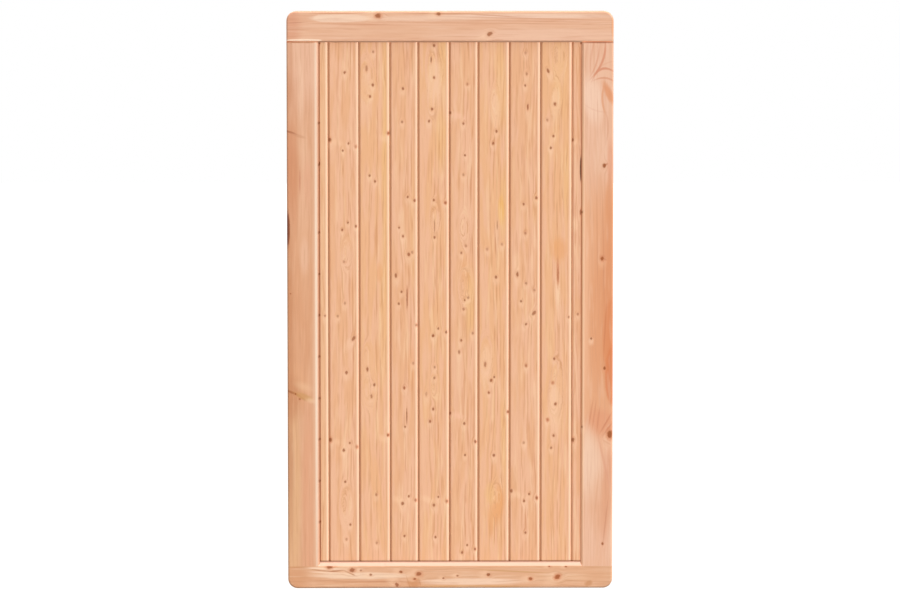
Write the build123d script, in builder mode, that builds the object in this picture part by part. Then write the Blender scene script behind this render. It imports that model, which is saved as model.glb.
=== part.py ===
from build123d import *
from itertools import accumulate
import os

# A wooden privacy fence panel: a grooved softwood frame filled with upright tongue-and-groove boards.
# The panel stands in the XZ plane and faces -Y. Its origin is the centre of its bottom edge.
# Two rails run over the full width and two stiles stand between them. Each frame joint is a stub
# tenon in the rail's groove, held by two fluted dowels. The boards stand loose in the groove that
# runs round the inside of the frame: they rest on its floor, and have room to swell elsewhere.
# All sizes are in millimetres.

# Frame
panel_width = 900.0
panel_height = 1600.0
frame_thickness = 42.0
stile_width = 88.0
top_rail_height = 86.0
bottom_rail_height = 73.5
corner_radius = 27.0  # the panel's four rounded corners
edge_radius = 5.0  # the eased outer arrises
stile_bevel = 5.5  # inner arrises of the stiles
top_rail_bevel = 4.5  # lower arrises of the top rail
weathering_drop = 12.0  # height of the slopes that shed water off the bottom rail
weathering_land = 1.5  # flat lip between such a slope and the groove

# Boards
board_thickness = 19.5
board_covers = (84.5, 85.5, 77.5, 86.5, 79.0, 86.5, 86.0, 87.0)  # joint to joint, from the left
left_strip = 25.5  # what shows of the ripped board beside the left stile
right_strip = 26.0  # and of the one beside the right stile
left_bevel_hidden = 1.5  # of the left ripped board's bevel, inside the groove of its stile
joint_gap = 1.0  # open line at the foot of each V joint
face_bevel = 5.0  # V joint on the front
back_bevel = 2.0  # eased arrises on the back
tongue_length = 8.0
tongue_thickness = 6.0
tongue_tip = 0.8  # chamfer on the tongue's tip

# Fits
groove_depth = 12.0  # of the groove round the inside of the frame
groove_clearance = 0.25  # each side of a board in that groove
swelling_gap = 3.0  # above the boards, and beside the two ripped ones
tenon_clearance = 0.1  # each side of a stub tenon
tenon_end_gap = 0.5
tongue_clearance = 0.25  # each side of a tongue
tongue_end_gap = 1.0

# Dowels
dowel_diameter = 12.0
dowel_in_rail = 40.0
dowel_in_stile = 50.0
dowel_spacing = 40.0
dowel_chamfer = 1.5
dowel_flutes = 8
dowel_flute_side = 1.4  # of the square cutter whose corner makes a V flute
dowel_clearance = 0.1  # glue film round a dowel
dowel_end_gap = 2.0  # glue well at each end of a dowel

# Worked out from the sizes above
half_width = panel_width / 2
half_thickness = frame_thickness / 2
opening_left = stile_width - half_width
opening_right = half_width - stile_width
opening_width = opening_right - opening_left
opening_bottom = bottom_rail_height
opening_top = panel_height - top_rail_height
groove_width = board_thickness + 2 * groove_clearance
groove_floor_low = opening_bottom - groove_depth
groove_floor_high = opening_top + groove_depth
board_trim = (opening_width - left_strip - right_strip - sum(board_covers)) / len(board_covers)
joints = list(accumulate([cover + board_trim for cover in board_covers], initial=opening_left + left_strip))
tenon_thickness = groove_width - 2 * tenon_clearance
tenon_width = stile_width - groove_depth
stile_foot = groove_floor_low + tenon_end_gap
stile_head = groove_floor_high - tenon_end_gap
weathering_depth = half_thickness - groove_width / 2 - weathering_land
weathering_foot = opening_bottom - weathering_drop
board_groove_depth = tongue_length - joint_gap + tongue_end_gap
board_groove_width = tongue_thickness + 2 * tongue_clearance
board_length = groove_floor_high - swelling_gap - groove_floor_low
hidden_edge = groove_depth - swelling_gap
dowel_length = dowel_in_rail + tenon_end_gap + dowel_in_stile
dowel_hole_radius = dowel_diameter / 2 + dowel_clearance
rail_hole_depth = dowel_in_rail + dowel_end_gap
stile_hole_depth = dowel_in_stile + dowel_end_gap
tenon_centre = half_width - tenon_width / 2
dowel_places = [
    side * tenon_centre + across for side in (-1, 1) for across in (-dowel_spacing / 2, dowel_spacing / 2)
]

UPWARDS = (Align.CENTER, Align.CENTER, Align.MIN)
DOWNWARDS = (Align.CENTER, Align.CENTER, Align.MAX)
FROM_BELOW = (Align.CENTER, Align.MIN)
FROM_LEFT = (Align.MIN, Align.CENTER)
FROM_RIGHT = (Align.MAX, Align.CENTER)

os.makedirs("parts", exist_ok=True)


def write(part, name):
    """Labels a finished piece and writes it under its node's name."""
    part.label = name
    export_step(part, f"parts/{name}.step")


def face_arrises(part):
    """The edges round a part's front and back faces."""
    by_depth = part.faces().sort_by(Axis.Y)
    return by_depth[0].edges() + by_depth[-1].edges()


# Top rail
with BuildPart() as top_rail:
    with BuildSketch(Plane.XZ.offset(-half_thickness)) as outline:
        with Locations((0, opening_top)):
            Rectangle(panel_width, top_rail_height, align=FROM_BELOW)
        fillet(outline.vertices().group_by(Axis.Y)[-1], corner_radius)
    extrude(amount=frame_thickness)
    chamfer(face_arrises(top_rail).group_by(Axis.Z)[0], top_rail_bevel)
    fillet(face_arrises(top_rail).group_by(Axis.Z)[1:], edge_radius)
    with Locations((0, 0, opening_top)):
        Box(panel_width, groove_width, groove_depth, align=UPWARDS, mode=Mode.SUBTRACT)
    with Locations([(x, 0, groove_floor_high) for x in dowel_places]):
        Cylinder(dowel_hole_radius, rail_hole_depth, align=UPWARDS, mode=Mode.SUBTRACT)
write(top_rail.part, "top_rail")

# Bottom rail
with BuildPart() as bottom_rail:
    with BuildSketch(Plane.XZ.offset(-half_thickness)) as outline:
        Rectangle(panel_width, bottom_rail_height, align=FROM_BELOW)
        fillet(outline.vertices().group_by(Axis.Y)[0], corner_radius)
    extrude(amount=frame_thickness)
    fillet(face_arrises(bottom_rail).group_by(Axis.Z)[:-1], edge_radius)
    with BuildSketch(Plane.YZ) as weathering:
        for side in (-1, 1):
            with BuildLine():
                Polyline(
                    (side * half_thickness, weathering_foot),
                    (side * (half_thickness - weathering_depth), opening_bottom),
                    (side * half_thickness, opening_bottom),
                    close=True,
                )
            make_face()
    extrude(amount=half_width, both=True, mode=Mode.SUBTRACT)
    with Locations((0, 0, opening_bottom)):
        Box(panel_width, groove_width, groove_depth, align=DOWNWARDS, mode=Mode.SUBTRACT)
    with Locations([(x, 0, groove_floor_low) for x in dowel_places]):
        Cylinder(dowel_hole_radius, rail_hole_depth, align=DOWNWARDS, mode=Mode.SUBTRACT)
write(bottom_rail.part, "bottom_rail")

# Stiles: the foot is coped over the bottom rail's slopes, and the head is cut square
with BuildPart() as left_stile:
    with BuildSketch() as section:
        with Locations((-half_width, 0)):
            Rectangle(stile_width, frame_thickness, align=FROM_LEFT)
        fillet(section.vertices().group_by(Axis.X)[0], edge_radius)
        chamfer(section.vertices().group_by(Axis.X)[-1], stile_bevel)
        with Locations((opening_left, 0)):
            Rectangle(groove_depth, groove_width, align=FROM_RIGHT, mode=Mode.SUBTRACT)
    extrude(amount=panel_height)
    with BuildSketch(Plane.YZ.offset(-half_width)) as waste:
        with BuildLine():
            Polyline(
                (-half_thickness, 0),
                (-half_thickness, weathering_foot),
                (weathering_depth - half_thickness, opening_bottom),
                (-tenon_thickness / 2, opening_bottom),
                (-tenon_thickness / 2, stile_foot),
                (tenon_thickness / 2, stile_foot),
                (tenon_thickness / 2, opening_bottom),
                (half_thickness - weathering_depth, opening_bottom),
                (half_thickness, weathering_foot),
                (half_thickness, 0),
                close=True,
            )
        make_face()
        with BuildLine():
            Polyline(
                (-half_thickness, panel_height),
                (-half_thickness, opening_top),
                (-tenon_thickness / 2, opening_top),
                (-tenon_thickness / 2, stile_head),
                (tenon_thickness / 2, stile_head),
                (tenon_thickness / 2, opening_top),
                (half_thickness, opening_top),
                (half_thickness, panel_height),
                close=True,
            )
        make_face()
    extrude(amount=stile_width, mode=Mode.SUBTRACT)
    with Locations([(x, 0, stile_foot) for x in dowel_places if x < 0]):
        Cylinder(dowel_hole_radius, stile_hole_depth, align=UPWARDS, mode=Mode.SUBTRACT)
    with Locations([(x, 0, stile_head) for x in dowel_places if x < 0]):
        Cylinder(dowel_hole_radius, stile_hole_depth, align=DOWNWARDS, mode=Mode.SUBTRACT)
write(left_stile.part, "left_stile")

with BuildPart() as right_stile:
    mirror(left_stile.part, about=Plane.YZ)
write(right_stile.part, "right_stile")


def board(left, right, name, has_groove=True, has_tongue=True, bevel_from=None):
    """An upright board between two shoulders, with its groove on the left and its tongue on the right.

    A ripped board has its left edge rebated on the face up to bevel_from, where its bevel starts.
    """
    with BuildPart() as plank:
        with BuildSketch(Plane.XY.offset(groove_floor_low)) as section:
            with Locations((left, 0)):
                Rectangle(right - left, board_thickness, align=FROM_LEFT)
            jointed = section.vertices().filter_by(lambda v: has_groove if v.X < right else has_tongue)
            chamfer(jointed.group_by(Axis.Y)[0], face_bevel)
            chamfer(jointed.group_by(Axis.Y)[-1], back_bevel)
            if has_groove:
                with Locations((left, 0)):
                    Rectangle(board_groove_depth, board_groove_width, align=FROM_LEFT, mode=Mode.SUBTRACT)
            if has_tongue:
                with Locations((right, 0)):
                    Rectangle(tongue_length, tongue_thickness, align=FROM_LEFT)
                chamfer(section.vertices().group_by(Axis.X)[-1], tongue_tip)
            if bevel_from is not None:
                with BuildLine():
                    Polyline(
                        (left, -board_thickness / 2),
                        (left, face_bevel - board_thickness / 2),
                        (bevel_from, face_bevel - board_thickness / 2),
                        (bevel_from + face_bevel, -board_thickness / 2),
                        close=True,
                    )
                make_face(mode=Mode.SUBTRACT)
        extrude(amount=board_length)
    write(plank.part, name)


# A ripped board closes each side of the full ones. The left one shows a V joint beside its stile too
board(
    opening_left - hidden_edge,
    joints[0] - joint_gap / 2,
    "left_edge_board",
    has_groove=False,
    bevel_from=opening_left - left_bevel_hidden,
)
for number, (start, end) in enumerate(zip(joints, joints[1:]), 1):
    board(start + joint_gap / 2, end - joint_gap / 2, f"board_{number}")
board(joints[-1] + joint_gap / 2, opening_right + hidden_edge, "right_edge_board", has_tongue=False)

# Dowels
with BuildPart() as dowel:
    Cylinder(dowel_diameter / 2, dowel_length, align=UPWARDS)
    chamfer(dowel.edges().filter_by(GeomType.CIRCLE), dowel_chamfer)
    with BuildSketch():
        with PolarLocations(dowel_diameter / 2, dowel_flutes):
            Rectangle(dowel_flute_side, dowel_flute_side, rotation=45)
    extrude(amount=dowel_length, mode=Mode.SUBTRACT)

with BuildPart() as corner_dowels:
    for foot in (groove_floor_low - dowel_in_rail, groove_floor_high + dowel_in_rail - dowel_length):
        with Locations([(x, 0, foot) for x in dowel_places]):
            add(dowel.part)
write(corner_dowels.part, "corner_dowels")
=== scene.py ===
from math import atan2, cos, degrees, hypot, pi, radians, sin

import bpy
from mathutils import Matrix, Vector


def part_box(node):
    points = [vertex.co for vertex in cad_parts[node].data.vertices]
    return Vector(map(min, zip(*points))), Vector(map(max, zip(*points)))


# The fence panel's looks: bare planed softwood, a soft light from the upper right and a white studio.
# Lengths are in metres unless a name says otherwise. The panel faces -Y, with +X to the right.

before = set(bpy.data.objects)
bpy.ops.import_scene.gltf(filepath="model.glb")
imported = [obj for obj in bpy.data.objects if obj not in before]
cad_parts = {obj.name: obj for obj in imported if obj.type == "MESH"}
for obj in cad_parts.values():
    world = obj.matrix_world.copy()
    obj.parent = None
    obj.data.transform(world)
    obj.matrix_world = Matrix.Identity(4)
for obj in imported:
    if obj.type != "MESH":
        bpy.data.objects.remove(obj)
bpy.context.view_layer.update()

MM = 0.001
frame_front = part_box("left_stile")[0].y
frame_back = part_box("left_stile")[1].y
board_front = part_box("board_1")[0].y
board_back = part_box("board_1")[1].y
opening_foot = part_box("bottom_rail")[1].z
opening_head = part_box("top_rail")[0].z
opening_half_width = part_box("right_stile")[0].x
board_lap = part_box("board_1")[1].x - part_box("board_2")[0].x


def rgb(red, green, blue):
    """A colour given in display values of 0 to 255, as the shader wants it."""
    shares = [value / 255 for value in (red, green, blue)]
    return (*[s / 12.92 if s < 0.04045 else ((s + 0.055) / 1.055) ** 2.4 for s in shares], 1.0)


# Node trees


class Field:
    """A number, vector or colour that varies over a surface. It stands for a socket in a node tree."""

    def __init__(self, tree, socket):
        self.tree = tree
        self.socket = socket

    def math(self, operation, *others, first=None):
        values = [self if first is None else first, *others]
        return add_node(self.tree, "ShaderNodeMath", values, operation=operation)

    def __add__(self, other):
        return self.math("ADD", other)

    def __sub__(self, other):
        return self.math("SUBTRACT", other)

    def __mul__(self, other):
        return self.math("MULTIPLY", other)

    def __truediv__(self, other):
        return self.math("DIVIDE", other)

    def vector_math(self, operation, *others, output=0):
        values = [self, *others]
        return add_node(self.tree, "ShaderNodeVectorMath", values, output=output, operation=operation)

    def length(self):
        return self.vector_math("LENGTH", output="Value")

    def step(self, low, high, most=1.0):
        """Turns softly from 0 at low to most at high. Low may be the larger one."""
        values = [self, low, high, 0.0, most]
        return add_node(self.tree, "ShaderNodeMapRange", values, interpolation_type="SMOOTHSTEP")

    def scaled(self, low, high):
        """A field of 0 to 1, taken to low to high."""
        return add_node(self.tree, "ShaderNodeMapRange", [self, 0.0, 1.0, low, high])

    def split(self):
        node = add_node(self.tree, "ShaderNodeSeparateXYZ", [self]).socket.node
        return [Field(self.tree, socket) for socket in node.outputs]


def add_node(tree, kind, inputs=(), output=0, **settings):
    """Adds a node, feeds its inputs by place or name, and gives one of its outputs."""
    node = tree.nodes.new(kind)
    for name, setting in settings.items():
        setattr(node, name, setting)
    for key, value in inputs.items() if isinstance(inputs, dict) else enumerate(inputs):
        if isinstance(value, Field):
            tree.links.new(value.socket, node.inputs[key])
        else:
            node.inputs[key].default_value = value
    return Field(tree, node.outputs[output])


def combine(x, y, z):
    tree = next(value.tree for value in (x, y, z) if isinstance(value, Field))
    return add_node(tree, "ShaderNodeCombineXYZ", [x, y, z])


def mix(share, first, second):
    """The first colour, turned to the second by a share of 0 to 1."""
    values = {0: share, 6: first, 7: second}
    return add_node(share.tree, "ShaderNodeMix", values, output=2, data_type="RGBA")


def noise(place, waves, detail=2.0, roughness=0.5):
    """Noise of 0 to 1 with so many waves a metre across, through and along the grain."""
    values = {
        "Vector": place.vector_math("MULTIPLY", waves),
        "Scale": 1.0,
        "Detail": detail,
        "Roughness": roughness,
    }
    return add_node(place.tree, "ShaderNodeTexNoise", values)


def wander(along, waves, seed):
    """Noise of -0.5 to 0.5 along the grain alone."""
    values = {"W": along * waves + seed, "Scale": 1.0, "Detail": 1.0}
    return add_node(along.tree, "ShaderNodeTexNoise", values, noise_dimensions="1D") - 0.5


SOCKETS = {float: "NodeSocketFloat", Vector: "NodeSocketVector", tuple: "NodeSocketColor"}


def new_group(name, inputs, outputs):
    """An empty node group, its inputs as fields, and the node that takes its outputs."""
    group = bpy.data.node_groups.new(name, "ShaderNodeTree")
    for side, sockets in (("INPUT", inputs), ("OUTPUT", outputs)):
        for label, kind in sockets.items():
            group.interface.new_socket(label, in_out=side, socket_type=SOCKETS[kind])
    start = group.nodes.new("NodeGroupInput")
    end = group.nodes.new("NodeGroupOutput")
    return group, [Field(group, start.outputs[label]) for label in inputs], end


def give(end, *fields):
    """Feeds a group's outputs in order."""
    for field, socket in zip(fields, end.inputs):
        field.tree.links.new(field.socket, socket)


def new_material(name):
    """A material and its empty node tree."""
    material = bpy.data.materials.new(name)
    material.use_nodes = True
    material.node_tree.nodes.clear()
    return material, material.node_tree


def dress(node, material):
    """Gives a node its material."""
    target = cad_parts[node]
    target.data.materials.clear()
    target.data.materials.append(material)


def show(tree, kind, shader):
    """Ends a tree in its output node."""
    node = tree.nodes.new(kind)
    tree.links.new(shader.socket, node.inputs["Surface"])


def use_group(tree, group, inputs):
    """Adds a group to a tree and gives all its outputs."""
    node = tree.nodes.new("ShaderNodeGroup")
    node.node_tree = group
    for label, value in inputs.items():
        if isinstance(value, Field):
            tree.links.new(value.socket, node.inputs[label])
        else:
            node.inputs[label].default_value = value
    return [Field(tree, socket) for socket in node.outputs]


# Softwood

KNOT_BROWN = rgb(148, 78, 34)
KNOT_RED = rgb(212, 132, 90)
KNOT_PALE = rgb(250, 208, 172)
# Painted shade and highlights for the crevices, the top rail's top, the bevels and the bottom rail's slope
SHADE = rgb(126, 76, 50)
TOP_PAINTED_SHADE = rgb(182, 140, 113)
BEVEL_PAINTED_HIGHLIGHT = rgb(244, 202, 170)
BEVEL_SHADE = rgb(214, 160, 122)
SLOPE_PAINTED_HIGHLIGHT = rgb(228, 184, 162)
PALE = rgb(253, 210, 170)
GOLD = rgb(239, 189, 128)
ORANGE = rgb(232, 160, 98)
BROWN = rgb(168, 102, 62)

# Colours of the wood: main, second, pale and late
PEACH = (rgb(239, 186, 150), rgb(235, 179, 137), rgb(248, 207, 166), rgb(208, 138, 94))
GOLDEN = (rgb(239, 185, 148), rgb(237, 181, 136), rgb(248, 208, 162), rgb(208, 140, 94))
GOLD_STRIP = (rgb(239, 190, 149), rgb(237, 186, 143), rgb(249, 214, 170), rgb(214, 150, 104))
TAN_PINK = (rgb(224, 170, 134), rgb(220, 162, 124), rgb(238, 192, 156), rgb(204, 140, 102))
PALE_PINK = (rgb(237, 189, 159), rgb(233, 182, 150), rgb(245, 207, 178), rgb(212, 150, 116))
ROSY = (rgb(233, 183, 150), rgb(230, 178, 144), rgb(241, 200, 172), rgb(206, 142, 108))
RAIL_PINK = (rgb(228, 178, 142), rgb(225, 172, 134), rgb(240, 204, 172), rgb(200, 138, 98))

knot_depth = 35 * MM  # behind the face, over which a knot narrows by its whole radius
mark_depth = 4 * MM  # behind the face, down to which zones and marks are whole
mark_end = 12 * MM  # behind the face, where they end
bevel_width = 6 * MM  # of a board's bevel at its V joint

# Waves a metre across, through and along the grain
UNEVEN_WAVES = (260.0, 260.0, 180.0)
BAND_WAVES = (44.0, 56.0, 6.0)
PALE_WAVES = (95.0, 110.0, 8.0)
FADE_WAVES = (45.0, 60.0, 11.0)
STREAK_WAVES = (150.0, 190.0, 8.0)
HAIR_WAVES = (600.0, 700.0, 14.0)
FIBRE_WAVES = (2600.0, 2600.0, 60.0)
SAWN_WAVES = (30.0, 30.0, 420.0)
WAVER_WAVES = (60.0, 60.0, 8.0)

# How far the pith sways beside a stick, across it and in depth, and how far the rings waver
SWAY_ACROSS = 12 * MM
SWAY_DEEP = 20 * MM
RING_WAVER = 5.5 * MM

SPOT_FRAME = {
    "Middle across": float, "Middle along": float, "Across by across": float, "Across by along": float,
    "Along by across": float, "Along by along": float,
}


def in_spot(across, along, frame_fields):
    """A point in a spot's own axes, across it and along it, counted in its radii."""
    middle_across, middle_along, *turned = frame_fields
    across_by_across, across_by_along, along_by_across, along_by_along = turned
    off_across = across - middle_across
    off_along = along - middle_along
    own_across = off_across.math("MULTIPLY_ADD", across_by_across, off_along * across_by_along)
    own_along = off_across.math("MULTIPLY_ADD", along_by_across, off_along * along_by_along)
    return own_across, own_along


def out_from_middle(own_across, own_along):
    return own_along.math("MULTIPLY_ADD", own_along, own_across * own_across).math("SQRT")


def spot_frame(spot, across_radius, along_radius, grain_along_x):
    """Places a spot on the face of a stick, as inputs for the groups."""
    turn = radians(-spot["turn"] if grain_along_x else spot["turn"])
    middle = (spot["z"], spot["x"]) if grain_along_x else (spot["x"], spot["z"])
    return {
        "Middle across": middle[0] * MM,
        "Middle along": middle[1] * MM,
        "Across by across": cos(turn) / (across_radius * MM),
        "Across by along": -sin(turn) / (across_radius * MM),
        "Along by across": sin(turn) / (along_radius * MM),
        "Along by along": cos(turn) / (along_radius * MM),
    }


def make_knot_group():
    """One knot: the branch's dark core, the wood around it, and how it bends the grain.

    A knot is a cone that narrows behind the face. Thin is how far in a point is, with a little
    unevenness, in the knot's radii. The group adds to the sums so far.
    """
    inputs = {
        "Across": float, "Along": float, "Thin": float, **SPOT_FRAME,
        "Dark": float, "Red": float, "Pale": float, "Bend": float,
        "Core": float, "Blush": float, "Halo": float, "Lift": float, "Aside": float,
    }
    outputs = {"Core": float, "Blush": float, "Halo": float, "Lift": float, "Aside": float}
    group, fields, end = new_group("Knot", inputs, outputs)
    across, along, thin, *placing, dark, red, pale, bend, core, blush, halo, lift, aside = fields
    own_across, own_along = in_spot(across, along, placing)
    outward = out_from_middle(own_across, own_along) + thin

    # Each part fades between two distances from the knot's middle, in its radii
    core = core.math("MAXIMUM", outward.step(1.3, 0.6) * dark)
    blush = blush.math("MAXIMUM", outward.step(2.4, 0.7) * red)
    halo = halo.math("MAXIMUM", own_along.math("MULTIPLY_ADD", 0.6, outward).step(3.0, 1.0) * pale)
    near = outward.step(4.5, 0.0) * bend
    lift = lift + near
    give(end, core, blush, halo, lift, near.math("MULTIPLY_ADD", own_across, aside))
    return group


def make_patch_group():
    """A soft patch of another tone."""
    inputs = {
        "Across": float, "Along": float, "Uneven": float, **SPOT_FRAME, "Bow": float,
        "Softness": float, "Strength": float, "Tone": tuple, "Colour": tuple,
    }
    group, fields, end = new_group("Patch", inputs, {"Colour": tuple})
    across, along, uneven, *placing, bow, softness, strength, tone, colour = fields
    own_across, own_along = in_spot(across, along, placing)
    own_across = own_across + own_along.math("MULTIPLY_ADD", own_along, -1.0) * bow
    outward = out_from_middle(own_across, own_along) + uneven
    share = outward.step(softness + 1.0, softness.math("SUBTRACT", softness, first=1.0)) * strength
    give(end, mix(share, colour, tone))
    return group


def make_grain_group():
    """The grain of one stick of wood, sawn from a trunk whose pith runs beside it.

    Late is the dark part of each year's ring, and Year is a chance number for each ring. Bent is
    the place across the face, out from the pith and along, bent around the knots.
    """
    inputs = {
        "Across": float, "Depth": float, "Along": float, "Pith across": float, "Pith depth": float,
        "Ring": float, "Seed": float, "Lift": float, "Aside": float,
    }
    outputs = {"Late": float, "Year": float, "Bent": Vector}
    group, fields, end = new_group("Grain", inputs, outputs)
    across, depth, along, pith_across, pith_depth, ring, seed, lift, aside = fields
    bent_across = across - aside
    from_pith = combine(
        bent_across - pith_across + wander(along, 1.3, seed) * SWAY_ACROSS,
        depth - pith_depth + wander(along, 1.7, seed + 40.0) * SWAY_DEEP,
        0.0,
    )
    waver = noise(combine(bent_across, depth, along), WAVER_WAVES, detail=2.0) - 0.5
    radius = from_pith.length() + waver * RING_WAVER + lift
    years = (radius / ring) + seed
    year = add_node(group, "ShaderNodeTexWhiteNoise", {"W": years.math("FLOOR")}, noise_dimensions="1D")
    part = years.math("FRACT")
    late = part.step(0.45, 0.85) * part.step(1.0, 0.92)
    give(end, late, year, combine(bent_across + seed, radius, along))
    return group


knot_group = make_knot_group()
patch_group = make_patch_group()
grain_group = make_grain_group()


def knot(x, z, r=3.1, long=1.25, turn=0, dark=0.75, red=0.3, pale=0.35, bend=1.0):
    """A knot at a place on the face, in millimetres, with its radius. Turn is clockwise, in degrees."""
    return dict(x=x, z=z, r=r, long=long, turn=turn, dark=dark, red=red, pale=pale, bend=bend)


def patch(x, z, width, height, tone, strength=0.5, turn=0, soft=0.5, bow=0.0):
    """A patch of another tone at a place on the face, with its half sizes, in millimetres.

    Bow is how far its middle stands up from its two ends.
    """
    ragged = min(1.0, 12 / max(width, height))
    return dict(
        x=x, z=z, width=width, height=height, tone=tone, strength=strength, turn=turn, soft=soft, bow=bow,
        ragged=ragged,
    )


def stroke(x, z, end_x, end_z, tone, strength=0.5, thick=1.8, bow=0.0):
    """A thin line of another tone from one place on the face to another, bowed to its left."""
    run, rise = end_x - x, end_z - z
    turn = -degrees(atan2(rise, run))
    middle = (x + end_x) / 2, (z + end_z) / 2
    return patch(*middle, hypot(run, rise) / 2, thick, tone, strength, turn, bow=bow)


def flame(x, z, r=6, long=3.0, pale=0.3, bend=3.2):
    """Grain that swirls round a knot just below the surface."""
    return knot(x, z, r, long, dark=0.0, red=0.0, pale=pale * 0.5, bend=bend)


def beam(x, z, tone=PALE, strength=0.45, turn=24):
    """The pale slanting wood beside a knot on a joint."""
    return patch(x, z, 18, 8, tone, strength * 0.8, turn, soft=0.9)


class Stick:
    """One piece of wood: its size, its material's node tree, and the place on it as fields.

    Faces is the depth of its front and back faces.
    """

    def __init__(self, node, faces, grain_along_x):
        self.node = node
        self.grain_along_x = grain_along_x
        self.front, self.back = faces
        self.low, self.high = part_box(node)
        self.middle = (self.low + self.high) / 2
        self.material, self.tree = new_material(node)
        position = add_node(self.tree, "ShaderNodeTexCoord", output="Object")
        self.x, self.y, self.z = position.split()
        self.across, self.along = (self.z, self.x) if grain_along_x else (self.x, self.z)
        self.place = combine(self.across, self.y, self.along)
        self.uneven = (noise(self.place, UNEVEN_WAVES, detail=1.0) - 0.5) * 0.8

    def is_board(self):
        return self.front == board_front

    def sunk(self):
        """How far below the nearer face a point lies, in the joints and on the bevels."""
        y = self.y
        return (y - self.front).math("MINIMUM", y.math("SUBTRACT", y, first=self.back))


def add_knots(stick, knots):
    """The knots' core, the blush and halo round them, and how they bend the grain up and aside."""
    thin = (stick.y - stick.front).math("ABSOLUTE").math("MULTIPLY_ADD", 1 / knot_depth, stick.uneven)
    core, blush, halo, lift, aside = 0.0, 0.0, 0.0, 0.0, 0.0
    for spot in knots:
        core, blush, halo, lift, aside = use_group(stick.tree, knot_group, {
            "Across": stick.across,
            "Along": stick.along,
            "Thin": thin,
            **spot_frame(spot, spot["r"], spot["r"] * spot["long"], stick.grain_along_x),
            "Dark": spot["dark"],
            "Red": spot["red"],
            "Pale": spot["pale"],
            "Bend": spot["bend"] * spot["r"] * MM,
            "Core": core,
            "Blush": blush,
            "Halo": halo,
            "Lift": lift,
            "Aside": aside,
        })
    return core, blush, halo, lift, aside


def add_patches(stick, patches, colour):
    """Lays patches over a colour."""
    for spot in patches:
        if not stick.grain_along_x:
            spot = {**spot, "turn": spot["turn"] - 90}
        [colour] = use_group(stick.tree, patch_group, {
            "Across": stick.across,
            "Along": stick.along,
            "Uneven": stick.uneven * spot["ragged"],
            **spot_frame(spot, spot["height"], spot["width"], stick.grain_along_x),
            "Bow": spot["bow"] / spot["height"],
            "Softness": spot["soft"],
            "Strength": spot["strength"],
            "Tone": spot["tone"],
            "Colour": colour,
        })
    return colour


def paint_arris_light_and_shade(stick, colour, sunk, fore, late_tone):
    """Painted highlight and painted shade on the bevels of a board's V joints."""
    bevel_start = stick.high.x - board_lap - bevel_width
    # A faint painted dark strip on the flat, just before the painted highlight
    painted_dark_fringe = stick.x.step(bevel_start - 8 * MM, bevel_start - 5 * MM)
    colour = mix(painted_dark_fringe * fore * 0.15, colour, late_tone)
    # Painted highlight on the bevel at the board's right, which faces the key lamp
    rise = stick.x.step(bevel_start - 5 * MM, bevel_start - 0.5 * MM)
    painted_highlight = rise * stick.x.step(bevel_start + 7 * MM, bevel_start + 2 * MM)
    colour = mix(painted_highlight * fore * 0.85, colour, BEVEL_PAINTED_HIGHLIGHT)
    # Painted shade on the bevel at the board's left, which faces away from the key lamp
    left = stick.x.step(stick.middle.x + 8 * MM, stick.middle.x - 8 * MM)
    return mix(sunk.step(0.2 * MM, 1.5 * MM) * left * fore * 0.9, colour, BEVEL_SHADE)


def paint_joint_shade(stick, colour, sunk):
    """Painted shade in the joints and on the top rail's top, and a painted highlight on the slope."""
    x, z = stick.x, stick.z
    if stick.is_board():
        # Painted shade down in the V joints and along the boards' foot
        foot = z.step(opening_foot + 5 * MM, opening_foot + 0.5 * MM)
        dark = sunk.step(3.8 * MM, 5.5 * MM, 0.75).math("MAXIMUM", foot * 0.85)
        return mix(dark, colour, SHADE)
    if stick.node == "bottom_rail":
        # A painted highlight on the bottom rail's slope, and painted shade in the crevice at its top
        slope = sunk.step(0.3 * MM, 1.5 * MM) * z.step(opening_foot - 13 * MM, opening_foot - 11 * MM)
        colour = mix(slope * 0.85, colour, SLOPE_PAINTED_HIGHLIGHT)
        return mix(z.step(opening_foot - 3.2 * MM, opening_foot - 1.2 * MM, 0.6), colour, SHADE)
    # Painted shade in the crevices beside the stiles and under the top rail
    beside = x.math("ABSOLUTE").step(opening_half_width + 7 * MM, opening_half_width + 6 * MM)
    below = z.step(opening_head + 7 * MM, opening_head + 6 * MM)
    colour = mix(sunk.step(5.0 * MM, 6.2 * MM, 0.9) * beside * below, colour, SHADE)
    if stick.node == "top_rail":
        # Painted shade on the top face of the top rail, which the lamps light too brightly
        colour = mix(z.step(stick.high.z - 0.6 * MM, stick.high.z - 0.1 * MM, 0.9), colour, TOP_PAINTED_SHADE)
    return colour


def lay_grain(stick, pith, ring, seed, lift, aside):
    """The stick's own grain: the late wood of its rings, their chance numbers, and the bent place."""
    middle = stick.middle
    return use_group(stick.tree, grain_group, {
        "Across": stick.across,
        "Depth": stick.y,
        "Along": stick.along,
        "Pith across": (middle.z if stick.grain_along_x else middle.x) + pith[0] * MM,
        "Pith depth": middle.y + pith[1] * MM,
        "Ring": ring * MM,
        "Seed": seed,
        "Lift": lift,
        "Aside": aside,
    })


def grain_share(stick, streaky, clear):
    """How much the grain shows, which is less in the clear share of the width at the left."""
    if not clear:
        return streaky
    clear_width = (stick.high.x - stick.low.x) * clear
    shown = stick.across.step(stick.low.x + 0.2 * clear_width, stick.low.x + 1.6 * clear_width)
    return shown.scaled(0.3 * streaky, streaky)


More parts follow.
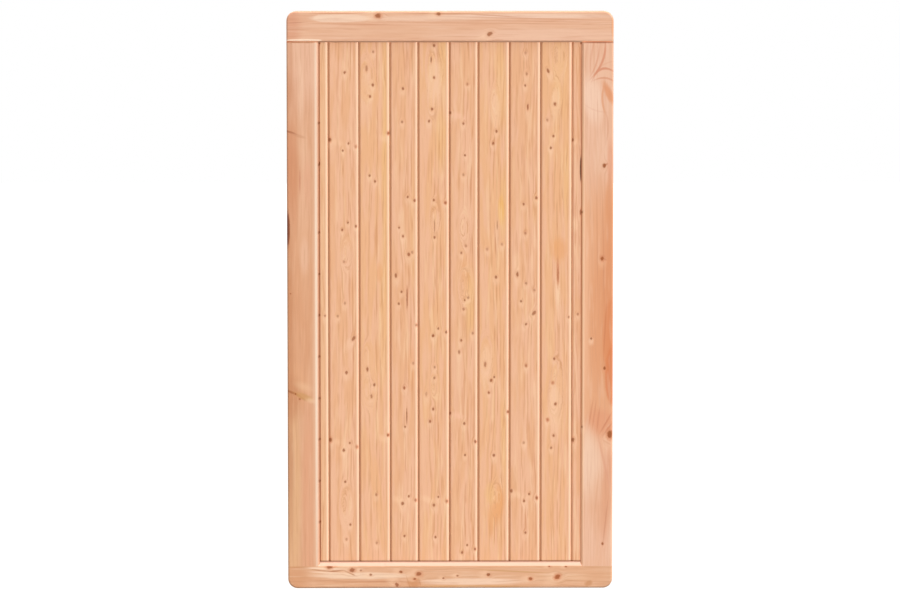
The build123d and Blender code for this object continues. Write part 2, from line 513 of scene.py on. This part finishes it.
def plane_surface(stick, colour, fibres, hairs):
    """Ends the material in a planed surface, with the fibres, hair lines and faint saw marks raised."""
    sawn = noise(stick.place, SAWN_WAVES, detail=0.0)
    height = fibres * 0.6 + hairs * 0.8 + sawn * 0.15
    bump_values = {"Strength": 0.25, "Distance": 0.4 * MM, "Height": height}
    bump = add_node(stick.tree, "ShaderNodeBump", bump_values)
    shader = add_node(stick.tree, "ShaderNodeBsdfPrincipled", {
        "Base Color": colour,
        "Roughness": hairs.scaled(0.52, 0.72),
        "Specular IOR Level": 0.25,
        "Normal": bump,
    })
    show(stick.tree, "ShaderNodeOutputMaterial", shader)


def wood(
    node, faces, grain_along_x, pith, ring, seed, tones, streaky=1.0, clear=0.0,
    knots=(), zones=(), marks=(),
):
    """Gives a node its own stick of bare planed softwood.

    Pith is how far the pith lies from the middle of the stick, across the face and behind it, and
    ring the width of a year's ring, in millimetres. Tones are the main, second, pale and late
    colours. Streaky is how much the grain shows, and clear the share of the width at the left where
    it hardly does. Zones are patches that lie under the grain and marks those that lie over it.
    """
    stick = Stick(node, faces, grain_along_x)
    core, blush, halo, lift, aside = add_knots(stick, knots)
    late, year, bent = lay_grain(stick, pith, ring, seed, lift, aside)

    main_tone, second_tone, pale_tone, late_tone = tones
    shown = grain_share(stick, streaky, clear)
    bands = noise(bent, BAND_WAVES, detail=2.0)
    colour = mix(bands.step(0.4, 0.6), main_tone, second_tone)
    fore = stick.y.step(stick.front + mark_end, stick.front + mark_depth)
    colour = mix(fore, colour, add_patches(stick, zones, colour))
    pales = noise(bent, PALE_WAVES, detail=2.0)
    colour = mix(pales.step(0.52, 0.68) * shown * 0.6, colour, pale_tone)
    fade = noise(bent, FADE_WAVES, detail=1.0).step(0.38, 0.62)
    colour = mix(late * year.scaled(0.1, 1.0) * fade * shown, colour, late_tone)
    streaks = noise(bent, STREAK_WAVES, detail=2.0, roughness=0.6)
    colour = mix(streaks.step(0.55, 0.7) * shown * 0.7, colour, late_tone)
    hairs = noise(bent, HAIR_WAVES, detail=2.0, roughness=0.6)
    colour = mix(hairs.step(0.5, 0.8, 0.22), colour, late_tone)
    fibres = noise(stick.place, FIBRE_WAVES, detail=1.0)
    colour = mix(fibres.step(0.55, 0.85, 0.12), colour, late_tone)
    # Some marks are painted highlights and painted shade along the stiles, rail edges and joints
    colour = mix(fore, colour, add_patches(stick, marks, colour))

    # Only the last board has no V joint at its right
    sunk = stick.sunk()
    if stick.is_board() and stick.high.x < opening_half_width:
        colour = paint_arris_light_and_shade(stick, colour, sunk, fore, late_tone)
    if knots:
        colour = mix(halo, colour, KNOT_PALE)
        colour = mix(blush, colour, KNOT_RED)
        colour = mix(core, colour, KNOT_BROWN)
    colour = paint_joint_shade(stick, colour, sunk)
    plane_surface(stick, colour, fibres, hairs)
    dress(node, stick.material)


def board(node, pith, seed, tones=PEACH, ring=7.0, streaky=0.75, clear=0.3, **spots):
    """Gives a board its wood."""
    wood(node, (board_front, board_back), False, pith, ring, seed, tones, streaky, clear, **spots)


board(
    "board_1", pith=(-50, 46), seed=1.3,
    knots=[
        knot(-290, 1431), knot(-332, 1246, r=4.2, red=0.6), knot(-280, 1236, r=2.6),
        knot(-260, 1227, red=0.5, dark=0.3), knot(-296, 1216, r=2.8), knot(-282, 1017, r=2.4),
        knot(-260, 1007), knot(-298, 997, r=2.8), knot(-293, 909, dark=0.4), knot(-291, 794, dark=0.35),
        knot(-311, 758, dark=0.4), knot(-267, 696, r=4, long=2.0, turn=35, dark=0.7),
        knot(-287, 601, r=3.6), knot(-332, 414, r=4.4, red=0.7), knot(-278, 405, r=2.6),
        knot(-295, 385, r=3.4), knot(-258, 394, red=0.6, dark=0.3), knot(-291, 297, r=2.8),
        knot(-277, 177, r=2.8), knot(-288, 136, dark=0.4), flame(-287, 234), flame(-285, 933, r=5),
    ],
    zones=[beam(-312, 1238), beam(-313, 408)],
)
board(
    "board_2", pith=(-62, 50), seed=7.1, tones=GOLDEN,
    knots=[
        knot(-212, 1488, dark=0.5), knot(-230, 1442, r=3.6, long=2.4, dark=0.5), knot(-213, 1397, r=3.6),
        knot(-220, 1365, r=3.2), knot(-170, 1264, r=3.4, red=0.7), knot(-222, 1147, r=2.8),
        knot(-207, 1131, r=2.8), knot(-229, 610, r=3.2, long=2.0), knot(-210, 567, r=3.4),
        knot(-218, 535, long=1.8, dark=0.6), knot(-172, 427, r=3, red=0.7), knot(-205, 261, dark=0.5),
        knot(-204, 126, dark=0.4), flame(-232, 1416, r=7), flame(-228, 643, r=5), flame(-225, 558, r=6),
    ],
    zones=[
        patch(-177, 1183, 10, 330, GOLD, 0.7), patch(-185, 763, 12, 200, GOLD, 0.4),
        patch(-195, 878, 9, 24, ORANGE, 0.35), beam(-180, 1248), beam(-182, 415),
    ],
)
board(
    "board_3", pith=(-44, 42), seed=13.7,
    knots=[
        knot(-130, 1387, r=3.4), knot(-132, 1295, dark=0.6), knot(-117, 1088), knot(-98, 1078, red=0.4),
        knot(-141, 1003, r=2.2), knot(-130, 979, r=3), knot(-114, 929, r=4.2, red=0.4),
        knot(-105, 935, dark=0.4), knot(-150, 870, r=3.4, long=1.8), knot(-134, 825, r=2.8),
        knot(-119, 809, r=1.8, long=14, red=0.4, pale=0.2), knot(-142, 792, r=2.8),
        knot(-102, 627, dark=0.4), knot(-127, 558, red=0.6), knot(-125, 450, r=2.6),
        knot(-120, 480, r=1.5, long=15, dark=0.9, pale=0.0), knot(-115, 256, r=2.8),
        knot(-96, 245, red=0.6, dark=0.5), knot(-132, 236, r=3.8), knot(-127, 145, r=3),
        knot(-93, 733, r=3.4, dark=0.5),
    ],
    zones=[
        beam(-140, 244, strength=0.6), patch(-100, 1003, 10, 160, GOLD, 0.3),
        patch(-107, 623, 9, 60, ORANGE, 0.3),
    ],
)
board(
    "board_4", pith=(-58, 48), seed=19.2, tones=GOLDEN,
    knots=[
        knot(-44, 1505, r=3.4), knot(-52, 1467, r=2, long=4), knot(-44, 1417, r=3.2),
        knot(-50, 1330, r=3.4), knot(-58, 1297, r=3.2), knot(-45, 1079, r=2.8),
        knot(-13, 1072, red=0.8, dark=0.6), knot(-43, 976), knot(-43, 1006, r=1.5, long=12, dark=0.5),
        knot(-33, 723, r=2.8), knot(-11, 713, r=3.2, red=0.3), knot(-47, 703, r=3.4, dark=0.85),
        knot(-43, 616, dark=0.5), knot(-44, 586, dark=0.6), knot(-66, 541, dark=0.3, long=2),
        knot(-47, 499, r=3), knot(-56, 465, r=3, red=0.4), knot(-45, 231, r=3.6), knot(-41, 142, r=3),
        knot(-9, 242, red=0.6, dark=0.5), knot(-33, 254, r=2.6), flame(-44, 1441, r=7, pale=0.9),
        flame(-48, 1352, r=5), flame(-40, 1033, r=5), flame(-42, 563, r=4),
    ],
    zones=[
        patch(-20, 1481, 12, 120, GOLD, 0.45), patch(-25, 1252, 16, 90, GOLD, 0.5),
        beam(-62, 246, strength=0.6),
    ],
)
board(
    "board_5", pith=(-40, 44), seed=25.9,
    knots=[
        knot(48, 1399, red=0.5, dark=0.4), knot(37, 1290, r=3), knot(41, 1203, r=2.6),
        knot(37, 1149, dark=0.4), knot(44, 952, dark=0.4), knot(31, 933, r=3, dark=0.6),
        knot(50, 809, dark=0.5), knot(40, 802, r=2.4), knot(37, 777, dark=0.5), knot(63, 710, dark=0.5),
        knot(31, 690, r=3), knot(25, 658, long=1.7, dark=0.6), knot(39, 459, r=3.2),
        knot(70, 408, r=3.4, red=0.4), knot(41, 371, r=2.6), knot(47, 119, r=2.6), knot(33, 98, r=3.2),
        knot(69, 108, red=0.5), knot(0, 1320, r=4), knot(0, 488, r=4), flame(42, 841, r=6),
        flame(40, 1003, r=5),
    ],
    zones=[
        beam(22, 1312, rgb(252, 200, 170), 0.6, 18), beam(22, 481, rgb(252, 200, 170), 0.6, 18),
        patch(55, 793, 14, 90, GOLD, 0.6), patch(45, 883, 12, 60, ORANGE, 0.3),
    ],
)
board(
    "board_6", pith=(-60, 50), seed=31.4, tones=GOLDEN,
    knots=[
        knot(128, 1269, r=3), knot(119, 1236, r=3.2), knot(130, 1010, r=1.5, long=9, dark=0.5),
        knot(102, 943, dark=0.3), knot(143, 957, dark=0.35), knot(127, 866, r=3.6),
        knot(97, 623, r=3.4, long=2.2, dark=0.6), knot(114, 579, r=3.6, red=0.5), knot(122, 588, r=2.4),
        knot(107, 545, r=2.8, red=0.5), knot(121, 370, r=3.4), knot(160, 491, r=3.8),
        flame(126, 1354, r=4.5, pale=0.8), flame(100, 653, r=6, pale=0.8), flame(128, 252, r=5),
    ],
    zones=[
        patch(132, 226, 14, 50, ORANGE, 0.85, turn=6), patch(114, 190, 8, 44, ORANGE, 0.5),
        patch(112, 264, 14, 30, GOLD, 0.6), patch(148, 1066, 10, 90, GOLD, 0.6),
        patch(141, 1052, 8, 36, rgb(240, 182, 104), 0.8), patch(140, 1391, 14, 120, GOLD, 0.4),
        patch(150, 423, 10, 120, GOLD, 0.5),
    ],
)
board(
    "board_7", pith=(-46, 44), seed=37.8,
    knots=[
        knot(208, 1485, dark=0.3), knot(211, 1427, dark=0.5, long=1.6), knot(207, 1395, r=2.8),
        knot(214, 1336, r=2.6, long=3, red=0.5), knot(238, 1085, r=3.4, red=0.4), knot(203, 1068, r=3.2),
        knot(208, 988, dark=0.5), knot(186, 874, r=3.4, long=2, red=0.4), knot(210, 849, dark=0.5),
        knot(196, 799, r=2.8), knot(232, 766, r=4, long=1.8, turn=35, dark=0.7),
        knot(210, 735, r=3.2, turn=30), knot(210, 620, red=0.6, dark=0.5), knot(204, 405, dark=0.4),
        knot(170, 271, r=4), knot(219, 262, r=2.6), knot(205, 243, r=3.2), knot(240, 251, r=3.4, red=0.6),
        knot(209, 154, r=3), knot(233, 830, dark=0.4),
    ],
    zones=[
        beam(188, 260, strength=0.6), patch(235, 1053, 8, 40, GOLD, 0.4), patch(185, 903, 8, 30, PALE, 0.5),
    ],
)
board(
    "board_8", pith=(-56, 46), seed=43.3, tones=GOLDEN,
    knots=[
        knot(270, 1436, r=3.4, long=2, turn=-20), knot(289, 1344, r=3.8), knot(268, 1300, dark=0.4),
        knot(285, 1256, r=3), knot(278, 1223, r=3),
        knot(298, 875, r=2.4, long=9, red=0.8, dark=0.4, pale=0.6), knot(328, 755, r=2.8, dark=0.5),
        knot(288, 639, r=3.2), knot(284, 572, red=0.7, dark=0.3), knot(292, 513, r=3.6),
        knot(270, 469, red=0.8, dark=0.3), knot(287, 425, r=3.2), knot(280, 391, dark=0.6),
        flame(291, 1369, r=5, pale=0.8), flame(291, 541, r=7, pale=0.9), flame(300, 1481, r=6),
        flame(297, 603, r=5),
    ],
    zones=[
        patch(305, 1401, 22, 130, GOLD, 0.3), patch(300, 942, 20, 32, ORANGE, 0.5),
        patch(322, 1123, 8, 120, GOLD, 0.5),
    ],
)

# The heights of the dark dots down the joint beside the left stile
dark_dots = (1292, 1177, 990, 875, 761, 646, 530, 416, 300, 185)

board(
    "left_edge_board", pith=(60, 60), seed=49.6, tones=GOLD_STRIP, streaky=0.5, clear=0.0,
    knots=[
        # The dark spot at the top beside the stile is painted shade in the corner's hollow, drawn as a knot
        knot(-361, 1512, r=3.4, dark=0.95, pale=0), knot(-361.5, 1180, r=3, long=2, dark=0.95, pale=0),
        *[knot(-361, z, r=2.2, long=1.6, dark=0.8, pale=0) for z in dark_dots],
        knot(-346, 759, r=3, dark=0.5),
    ],
    zones=[patch(-343, 1401, 3, 200, GOLD, 0.4)],
    marks=[
        # Painted shade along the joint beside the stile
        patch(-361.5, 793, 2.4, 760, rgb(172, 120, 84), 0.55, soft=0.3),
        patch(-361, 1133, 2, 60, BROWN, 0.6),
    ],
)
board(
    "right_edge_board", pith=(-70, 60), seed=55.1, streaky=0.7, clear=0.0,
    knots=[
        # The dark spot at the top beside the stile is painted shade in the corner's hollow, drawn as a knot
        knot(361, 1512, r=3, dark=0.95, pale=0), knot(338, 1245, r=3.6, red=0.4),
        knot(340, 413, r=4.6, red=0.4), knot(353, 763, dark=0.5),
        knot(361, 1046, r=3, long=2.5, dark=0.8, pale=0),
    ],
    zones=[patch(345, 1010, 8, 20, PALE, 0.6), beam(350, 1238)],
    marks=[
        # The first two marks are painted shade along the joint beside the stile
        patch(361, 1371, 3.4, 160, rgb(206, 134, 96), 0.6),
        patch(362, 783, 1.4, 745, rgb(196, 124, 86), 0.6, soft=0.3),
        patch(361, 1166, 3, 34, rgb(104, 56, 36), 0.95, soft=0.3),
    ],
)
wood(
    "left_stile", (frame_front, frame_back), False, pith=(-110, 70), ring=9.0, seed=61.5, tones=TAN_PINK,
    streaky=0.3,
    knots=[
        knot(-428, 543, r=2.6, long=1.0, dark=0.8, pale=0),
        knot(-416, 529, r=2.6, long=1.0, dark=0.6, pale=0),
        knot(-441, 821, r=2.4, long=0.6, dark=0.7, pale=0),
    ],
    zones=[
        patch(-405, 1500, 70, 170, rgb(236, 188, 158), 0.8),
        patch(-441, 1173, 18, 140, rgb(212, 144, 106), 0.85, turn=-1, soft=0.9),
        patch(-403, 1073, 16, 210, rgb(240, 194, 160), 0.6),
        patch(-410, 1386, 6, 90, rgb(246, 204, 172), 0.5),
        patch(-394, 1133, 9, 60, rgb(226, 164, 130), 0.5),
        patch(-412, 804, 44, 230, rgb(222, 162, 121), 0.55),
        patch(-434, 252, 20, 300, rgb(228, 180, 134), 0.75),
        patch(-392, 252, 16, 260, rgb(230, 168, 132), 0.55),
        patch(-420, 563, 26, 60, rgb(228, 168, 124), 0.4),
        patch(-448, 1480, 14, 70, rgb(212, 154, 120), 0.6),
        patch(-445, 1381, 16, 52, rgb(208, 146, 110), 0.8, soft=0.9),
        patch(-425, 1146, 15, 60, rgb(212, 146, 106), 0.6, soft=0.95),
        patch(-438, 530, 24, 60, rgb(202, 138, 98), 0.75),
        patch(-448, 350, 14, 90, rgb(202, 144, 108), 0.7),
        patch(-402, 925, 12, 46, rgb(240, 196, 166), 0.45),
        patch(-448, 740, 16, 270, rgb(202, 138, 97), 0.75),
        patch(-450, 300, 16, 200, rgb(204, 148, 108), 0.6),
    ],
    marks=[
        stroke(-456, 1272, -424, 1262, rgb(170, 104, 70), 0.75, 3),
        stroke(-440, 1264, -400, 1252, rgb(206, 146, 110), 0.5, 4),
        patch(-448, 999, 6, 46, rgb(126, 62, 36), 0.9, soft=0.3),
        patch(-414, 1131, 1.8, 32, rgb(196, 118, 86), 0.5), stroke(-458, 555, -420, 540, BROWN, 0.8, 3.2),
        stroke(-430, 545, -400, 525, rgb(186, 124, 76), 0.55, 3),
        patch(-406, 536, 26, 8, rgb(206, 152, 96), 0.75, turn=22),
        patch(-404, 563, 22, 9, rgb(242, 198, 156), 0.4, turn=20, soft=0.9),
        patch(-383, 524, 14, 6, rgb(244, 204, 166), 0.5, turn=15, soft=0.8),
        # Painted shade along the joint under the top rail
        patch(-406, 1513.4, 60, 1.1, rgb(160, 122, 88), 0.7),
        # Painted highlight along the inner bevel, then painted shade towards its foot
        patch(-370, 790, 3.4, 780, rgb(255, 232, 208), 0.85, soft=0.8),
        patch(-376, 790, 4, 780, rgb(238, 196, 164), 0.4, soft=0.8),
        patch(-366.2, 790, 1.8, 780, rgb(224, 186, 160), 0.85, soft=0.4),
        patch(-363.6, 790, 2, 780, rgb(182, 132, 102), 0.85, soft=0.4),
        *[patch(-363.2, z, 1.8, 4, rgb(120, 72, 46), 0.6) for z in dark_dots],
    ],
)

pale_face = rgb(245, 208, 180)
faint_line = rgb(216, 152, 122)
fan_line = rgb(214, 138, 106)  # beside the flame figure near the top
knot_line = rgb(210, 134, 98)  # beside the large knot
knot_line_dark = rgb(206, 128, 92)

wood(
    "right_stile", (frame_front, frame_back), False, pith=(115, 74), ring=7.6, seed=67.2, tones=PALE_PINK,
    streaky=0.32,
    knots=[
        knot(425, 1174, r=4.6, dark=0.9, pale=0), knot(420, 918, r=4.2, red=0.9, dark=0.8, pale=0.2),
        knot(390, 696, r=2.8, pale=0.5), knot(427, 614, r=3.2, long=1.5, dark=0.85, pale=0),
        knot(442, 430, r=7, long=1.5, dark=0.85, red=0.8, bend=3.2), knot(364, 450, r=3, dark=0.5),
        knot(423, 124, r=3.2, dark=0.85, pale=0), knot(363, 1046, r=3, dark=0.7, pale=0),
    ],
    zones=[
        patch(405, 763, 230, 350, rgb(230, 168, 126), 0.9, soft=0.3),
        patch(368, 793, 16, 330, rgb(240, 184, 146), 0.7),
        patch(450, 804, 30, 260, rgb(220, 144, 98), 0.75),
        patch(452, 693, 30, 118, rgb(220, 136, 88), 0.7, soft=0.12),
        patch(452, 593, 24, 84, rgb(216, 126, 78), 0.7, soft=0.12),
        patch(418, 461, 38, 36, rgb(226, 154, 116), 0.7), patch(442, 1183, 8, 60, rgb(226, 154, 120), 0.6),
        patch(437, 1374, 9, 32, rgb(224, 150, 106), 0.85, turn=-24),
        patch(394, 1356, 26, 64, rgb(246, 208, 182), 0.75, turn=-8, soft=0.4),
        patch(386, 350, 30, 96, pale_face, 0.7, turn=-6, soft=0.5),
        patch(436, 290, 13, 160, rgb(222, 156, 122), 0.7, turn=4),
        patch(418, 236, 34, 80, rgb(226, 168, 130), 0.45),
        patch(410, 740, 24, 190, rgb(222, 149, 102), 0.5), patch(440, 1074, 14, 60, rgb(220, 146, 98), 0.5),
    ],
    marks=[
        stroke(372, 1436, 382, 1520, fan_line, 0.2, 2.4, bow=3),
        stroke(386, 1430, 398, 1520, fan_line, 0.3, 2.6, bow=4),
        stroke(388, 1424, 410, 1500, fan_line, 0.45, 2.4, bow=-5),
        stroke(391, 1418, 427, 1520, fan_line, 0.75, 3, bow=-12),
        stroke(393, 1414, 456, 1430, fan_line, 0.8, 3.4, bow=20),
        stroke(397, 1410, 455, 1404, fan_line, 0.6, 2.6, bow=9),
        stroke(396, 1418, 455, 1462, fan_line, 0.2, 2.4, bow=12),
        stroke(424, 1398, 427, 1318, rgb(222, 152, 112), 0.7, 3, bow=-6),
        stroke(370, 1344, 432, 1322, faint_line, 0.2, 2.2, bow=-6),
        stroke(430, 1320, 430, 1240, faint_line, 0.45, 2.4, bow=5),
        stroke(384, 455, 396, 527, knot_line, 0.5, 2.4),
        stroke(394, 447, 404, 519, knot_line, 0.5, 2.4),
        stroke(406, 439, 414, 503, knot_line, 0.5, 2.4),
        stroke(416, 435, 446, 487, knot_line_dark, 0.6, 2.4),
        stroke(424, 427, 448, 461, knot_line_dark, 0.6, 2.4),
        stroke(424, 413, 446, 400, knot_line_dark, 0.5, 2.4),
        stroke(426, 1176, 434, 1180, rgb(196, 116, 78), 0.6, 2.2),
        stroke(416, 920, 431, 914, rgb(196, 112, 72), 0.7, 2.4),
        stroke(410, 423, 440, 292, rgb(222, 160, 130), 0.6, 3),
        stroke(424, 126, 438, 252, rgb(206, 142, 110), 0.6, 2),
        stroke(412, 322, 398, 181, rgb(222, 164, 130), 0.5, 2.4),
        # Painted highlight along the inner arris
        patch(369.6, 793, 1.8, 730, rgb(252, 206, 170), 0.6),
        stroke(404, 1113, 408, 823, rgb(214, 146, 106), 0.5, 1.8),
        stroke(420, 1103, 426, 783, rgb(212, 140, 100), 0.5, 2),
        stroke(432, 793, 424, 643, rgb(206, 124, 82), 0.5, 2),
        # Painted shade along the joint under the top rail
        patch(406, 1513, 60, 1.3, rgb(136, 74, 50), 0.8),
        # Painted light on the shaded inner bevel, then painted shade at its foot
        patch(365.8, 790, 2.4, 760, rgb(255, 206, 162), 0.9, soft=0.4),
        patch(363, 790, 1.3, 760, rgb(206, 124, 80), 0.85, soft=0.4),
    ],
)

rail_line = rgb(204, 138, 102)
rail_pale = rgb(247, 212, 184)

wood(
    "top_rail", (frame_front, frame_back), True, pith=(95, 70), ring=8.0, seed=73.8, tones=ROSY,
    streaky=0.38,
    knots=[
        knot(-198, 1587, r=6.2, red=0.6), knot(-32, 1592, r=4.6, red=0.4),
        knot(109, 1537, r=5.2, long=1.6, turn=-35),
    ],
    zones=[
        patch(-448, 1555, 34, 70, rgb(220, 156, 124), 0.7),
        patch(-300, 1580.5, 82, 11, rail_pale, 0.85, soft=0.2),
        patch(-346, 1580.5, 30, 10.5, rail_pale, 0.7, soft=0.15),
        patch(-60, 1580, 170, 8, rgb(246, 208, 180), 0.6),
        patch(220, 1586, 230, 6, rgb(247, 212, 188), 0.75),
        patch(280, 1534, 260, 18, rgb(241, 196, 168), 0.6),
    ],
    marks=[
        patch(-318, 1593.5, 62, 2, rgb(206, 136, 98), 0.55), stroke(-385, 1566, -150, 1562, rail_line, 0.4),
        stroke(-20, 1585, 450, 1574, rail_line, 0.45), stroke(-60, 1577, 450, 1568, rail_line, 0.3),
        stroke(-240, 1570, 450, 1563, rail_line, 0.35, 1.6),
        stroke(-104, 1593, 64, 1592, rgb(198, 130, 96), 0.55), stroke(50, 1592, 190, 1583, rail_line, 0.5),
        stroke(-466, 1566, -394, 1570, rgb(198, 130, 98), 0.55, 1.6),
        stroke(-465, 1549, -385, 1549, rail_line, 0.45, 1.6),
        # Painted highlight along the lower edge over the left stile
        patch(-402, 1520, 50, 3.8, rgb(255, 222, 194), 0.9, soft=0.1),
        patch(448, 1555, 4, 30, rgb(226, 156, 108), 0.6),
        # Painted light on the shaded lower bevel over the right stile
        patch(406, 1517, 60, 2.4, rgb(255, 212, 176), 0.9, soft=0.3),
    ],
)

dark_line = rgb(182, 114, 74)

wood(
    "bottom_rail", (frame_front, frame_back), True, pith=(-100, 72), ring=8.0, seed=79.4, tones=RAIL_PINK,
    streaky=0.5,
    knots=[
        knot(-335, 60, r=5, long=1.6, red=0.7), knot(-272, 51, r=5.5, long=1.3, dark=0.75, red=0.5),
        knot(-248, 50, r=2.6, dark=0.6), knot(-221, 38, r=3), knot(-181, 67, r=2.4, red=0.5),
        knot(-137, 46, r=3.6, dark=0.85), knot(-87, 40, r=5.5, red=0.6), knot(-99, 26, r=3, red=0.6),
        knot(-148, 10, r=5, long=1.3, turn=40), knot(-19, 28, r=2.4), knot(20, 35, r=2.6),
        knot(106, 38, r=4.2, dark=0.85), knot(223, 26, r=3.8, red=0.8),
        knot(298, 32, r=6, red=0.9, turn=-30), knot(275, 61, r=2.4, red=0.5), knot(321, 60, r=2.4, red=0.5),
    ],
    zones=[
        patch(-440, 35, 44, 60, rgb(214, 154, 112), 0.75),
        patch(-246, 35, 128, 9, rgb(247, 214, 184), 0.8, soft=0.3),
        patch(56, 19, 136, 9, rail_pale, 0.8, soft=0.3),
        patch(310, 30, 70, 16, rgb(238, 196, 160), 0.5), patch(-102, 18, 15, 16, rgb(210, 148, 98), 0.7),
        patch(60, 5, 150, 3.5, rgb(222, 166, 106), 0.7),
    ],
    marks=[
        stroke(-392, 57, -305, 54, rgb(252, 220, 190), 0.9, 3),
        stroke(-384, 53, -330, 47, dark_line, 0.8, 2), stroke(-336, 47, -290, 51, dark_line, 0.8, 2),
        stroke(-296, 50, -264, 36, dark_line, 0.8, 2),
        stroke(-384, 46, -300, 42, rgb(250, 216, 186), 0.7, 2.4),
        stroke(-396, 24, -264, 19, dark_line, 0.35, 1.6), stroke(-280, 20, -130, 19, dark_line, 0.45, 1.6),
        stroke(72, 52, 258, 43, rgb(204, 150, 92), 0.65, 1.8),
        stroke(-452, 59, -395, 60, rgb(200, 140, 92), 0.6, 1.5),
        stroke(-122, 34, -112, 2, rgb(198, 132, 90), 0.5, 1.6),
        stroke(-88, 28, -82, 4, rgb(196, 130, 88), 0.5, 1.6),
        patch(-100, 15, 16, 14, rgb(212, 148, 106), 0.55),
        patch(384, 13, 11, 7, rgb(200, 138, 92), 0.65, turn=-25),
    ],
)

# Dowels


def beech(node):
    """Gives a node plain beech, with its short flecks."""
    material, tree = new_material(node)
    place = add_node(tree, "ShaderNodeTexCoord", output="Object")
    flecks = noise(place, (900.0, 900.0, 160.0), detail=1.0)
    tone = noise(place, (120.0, 120.0, 12.0), detail=2.0)
    colour = mix(tone, rgb(216, 172, 128), rgb(200, 152, 108))
    colour = mix(flecks.step(0.58, 0.66, 0.6), colour, rgb(164, 112, 74))
    normal = add_node(tree, "ShaderNodeBump", {"Strength": 0.3, "Distance": 0.2 * MM, "Height": flecks})
    shader = add_node(tree, "ShaderNodeBsdfPrincipled", {
        "Base Color": colour,
        "Roughness": 0.55,
        "Specular IOR Level": 0.3,
        "Normal": normal,
    })
    show(tree, "ShaderNodeOutputMaterial", shader)
    dress(node, material)


beech("corner_dowels")

# Studio

floor_size = 40.0
floor_lit = (0.25, 0.25, 0.25, 1.0)  # as it throws light up at the panel
floor_seen = (0.14, 0.14, 0.14, 1.0)  # as it takes the shadow
floor_glow = 0.88  # that whitens it
WHITE = (1.0, 1.0, 1.0, 1.0)


def seen(tree):
    """1 for rays that look at something, straight, in a gloss or through glass, and 0 for light."""
    path = tree.nodes.new("ShaderNodeLightPath")
    looked_at = Field(tree, path.outputs["Is Camera Ray"])
    for ray in ("Is Glossy Ray", "Is Transmission Ray"):
        looked_at = looked_at.math("MAXIMUM", Field(tree, path.outputs[ray]))
    return looked_at


def make_floor():
    """A plain pale floor. To the eye it is white, and it keeps the panel's soft shadow."""
    half = floor_size / 2
    mesh = bpy.data.meshes.new("floor")
    corners = [(-half, -half, 0), (half, -half, 0), (half, half, 0), (-half, half, 0)]
    mesh.from_pydata(corners, [], [(0, 1, 2, 3)])
    floor = bpy.data.objects.new("floor", mesh)
    bpy.context.scene.collection.objects.link(floor)
    material, tree = new_material("floor")
    share = seen(tree)
    pale = add_node(tree, "ShaderNodeBsdfDiffuse", [floor_lit])
    faint = add_node(tree, "ShaderNodeBsdfDiffuse", [floor_seen])
    glow = add_node(tree, "ShaderNodeEmission", {"Color": WHITE, "Strength": floor_glow})
    white = add_node(tree, "ShaderNodeAddShader", [faint, glow])
    both = add_node(tree, "ShaderNodeMixShader", [share, pale, white])
    show(tree, "ShaderNodeOutputMaterial", both)
    mesh.materials.append(material)


def make_world(fill):
    """White to the eye, and an even soft light of the strength given on the panel."""
    world = bpy.data.worlds.new("studio")
    world.use_nodes = True
    tree = world.node_tree
    tree.nodes.clear()
    light = add_node(tree, "ShaderNodeBackground", [WHITE, seen(tree).scaled(fill, 1.0)])
    show(tree, "ShaderNodeOutputWorld", light)
    bpy.context.scene.world = world


def sun(name, azimuth, elevation, level, softness, shadow=True):
    """A far soft lamp. Azimuth 0 is in front of the panel and 90 to its right, in degrees.

    Level is how bright a white surface is that faces the lamp, and softness its width in degrees.
    """
    lamp = bpy.data.lights.new(name, "SUN")
    lamp.energy = level * pi
    lamp.angle = radians(softness)
    lamp.use_shadow = shadow
    lamp.cycles.cast_shadow = shadow
    holder = bpy.data.objects.new(name, lamp)
    turn, rise = radians(azimuth), radians(elevation)
    towards = Vector((sin(turn) * cos(rise), -cos(turn) * cos(rise), sin(rise)))
    holder.rotation_euler = towards.to_track_quat("Z", "Y").to_euler()
    bpy.context.scene.collection.objects.link(holder)


make_floor()
make_world(fill=0.40)
sun("key", azimuth=55, elevation=45, level=1.18, softness=20, shadow=False)
sun("bounce", azimuth=-70, elevation=10, level=0.12, softness=30, shadow=False)
sun("rear", azimuth=205, elevation=35, level=0.75, softness=20, shadow=False)
sun("ceiling", azimuth=0, elevation=75, level=0.22, softness=40)

# Camera

bpy.context.scene.view_settings.view_transform = "Standard"


def make_camera(place, yaw, pitch, roll, lens):
    """A camera that looks along +Y, turned by yaw to the right, by pitch up, and by roll."""
    camera = bpy.data.cameras.new("camera")
    camera.lens = lens
    camera.sensor_width = 36.0
    camera.clip_end = 100.0
    holder = bpy.data.objects.new("camera", camera)
    turn = Matrix.Rotation(radians(-yaw), 4, "Z") @ Matrix.Rotation(radians(90 + pitch), 4, "X")
    holder.matrix_world = Matrix.Translation(place) @ turn @ Matrix.Rotation(radians(roll), 4, "Z")
    bpy.context.scene.collection.objects.link(holder)
    bpy.context.scene.camera = holder


make_camera(place=(-0.110, -12.0, 1.800), yaw=0.524, pitch=-4.756, roll=-0.018, lens=174.06)
